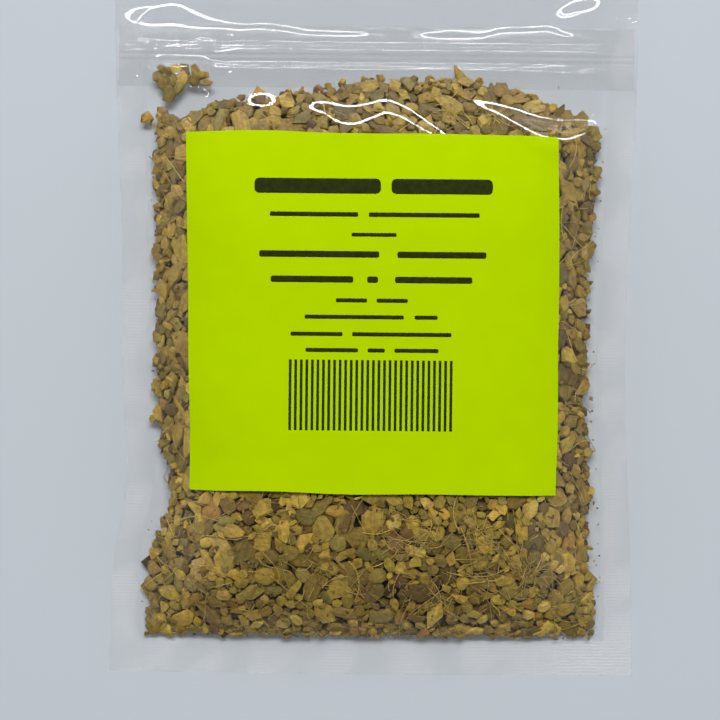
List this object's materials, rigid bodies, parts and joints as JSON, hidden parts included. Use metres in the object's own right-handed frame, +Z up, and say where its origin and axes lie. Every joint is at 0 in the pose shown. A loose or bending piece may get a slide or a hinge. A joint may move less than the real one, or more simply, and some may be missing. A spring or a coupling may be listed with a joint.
{
  "type": "resealable pouch of dried cut ginger root",
  "caption": "Clear flat pouch with a press-to-close zip and heat-sealed edges, filled with dried, cut and sifted ginger root, with a plain square paper label.",
  "frame": {"origin": "on the surface that the pouch lies on, under the middle of its outline", "axes": "+Y along the pouch towards its open end, +X across it to the right seen from the label, +Z up out of the labelled front"},
  "size_m": [0.1016, 0.1524, 0.0169],
  "materials": {
    "clear_film": "glossy clear film with ribbed heat seals",
    "zip_tape": "clear extruded tape with fine ribs",
    "label_paper": "matte fluorescent yellow-green paper",
    "dried_ginger": "dry, fibrous, tan to mustard yellow"
  },
  "bodies": {
    "root": {"front_film": "clear_film", "back_film": "clear_film", "zip_rib_tape": "zip_tape", "zip_jaw_tape": "zip_tape", "paper_label": "label_paper", "ginger_bulk": "dried_ginger", "ginger_chip_01": "dried_ginger", "ginger_chip_02": "dried_ginger", "ginger_chip_03": "dried_ginger", "ginger_chip_04": "dried_ginger", "ginger_chip_05": "dried_ginger", "ginger_chip_06": "dried_ginger", "ginger_chip_07": "dried_ginger", "ginger_chip_08": "dried_ginger", "ginger_chip_09": "dried_ginger", "ginger_chip_10": "dried_ginger", "ginger_chip_11": "dried_ginger", "ginger_chip_12": "dried_ginger", "ginger_chip_13": "dried_ginger", "ginger_chip_14": "dried_ginger", "ginger_chip_15": "dried_ginger", "ginger_chip_16": "dried_ginger", "ginger_chip_17": "dried_ginger", "ginger_chip_18": "dried_ginger", "ginger_chip_19": "dried_ginger", "ginger_chip_20": "dried_ginger", "ginger_chip_21": "dried_ginger", "ginger_chip_22": "dried_ginger", "ginger_chip_23": "dried_ginger", "ginger_chip_24": "dried_ginger", "ginger_chip_25": "dried_ginger", "ginger_chip_26": "dried_ginger", "ginger_chip_27": "dried_ginger", "ginger_chip_28": "dried_ginger", "ginger_chip_29": "dried_ginger", "ginger_chip_30": "dried_ginger", "ginger_chip_31": "dried_ginger", "ginger_chip_32": "dried_ginger", "ginger_chip_33": "dried_ginger", "ginger_chip_34": "dried_ginger", "ginger_chip_35": "dried_ginger", "ginger_chip_36": "dried_ginger", "ginger_chip_37": "dried_ginger", "ginger_chip_38": "dried_ginger", "ginger_chip_39": "dried_ginger", "ginger_chip_40": "dried_ginger"}
  },
  "joints": []
}
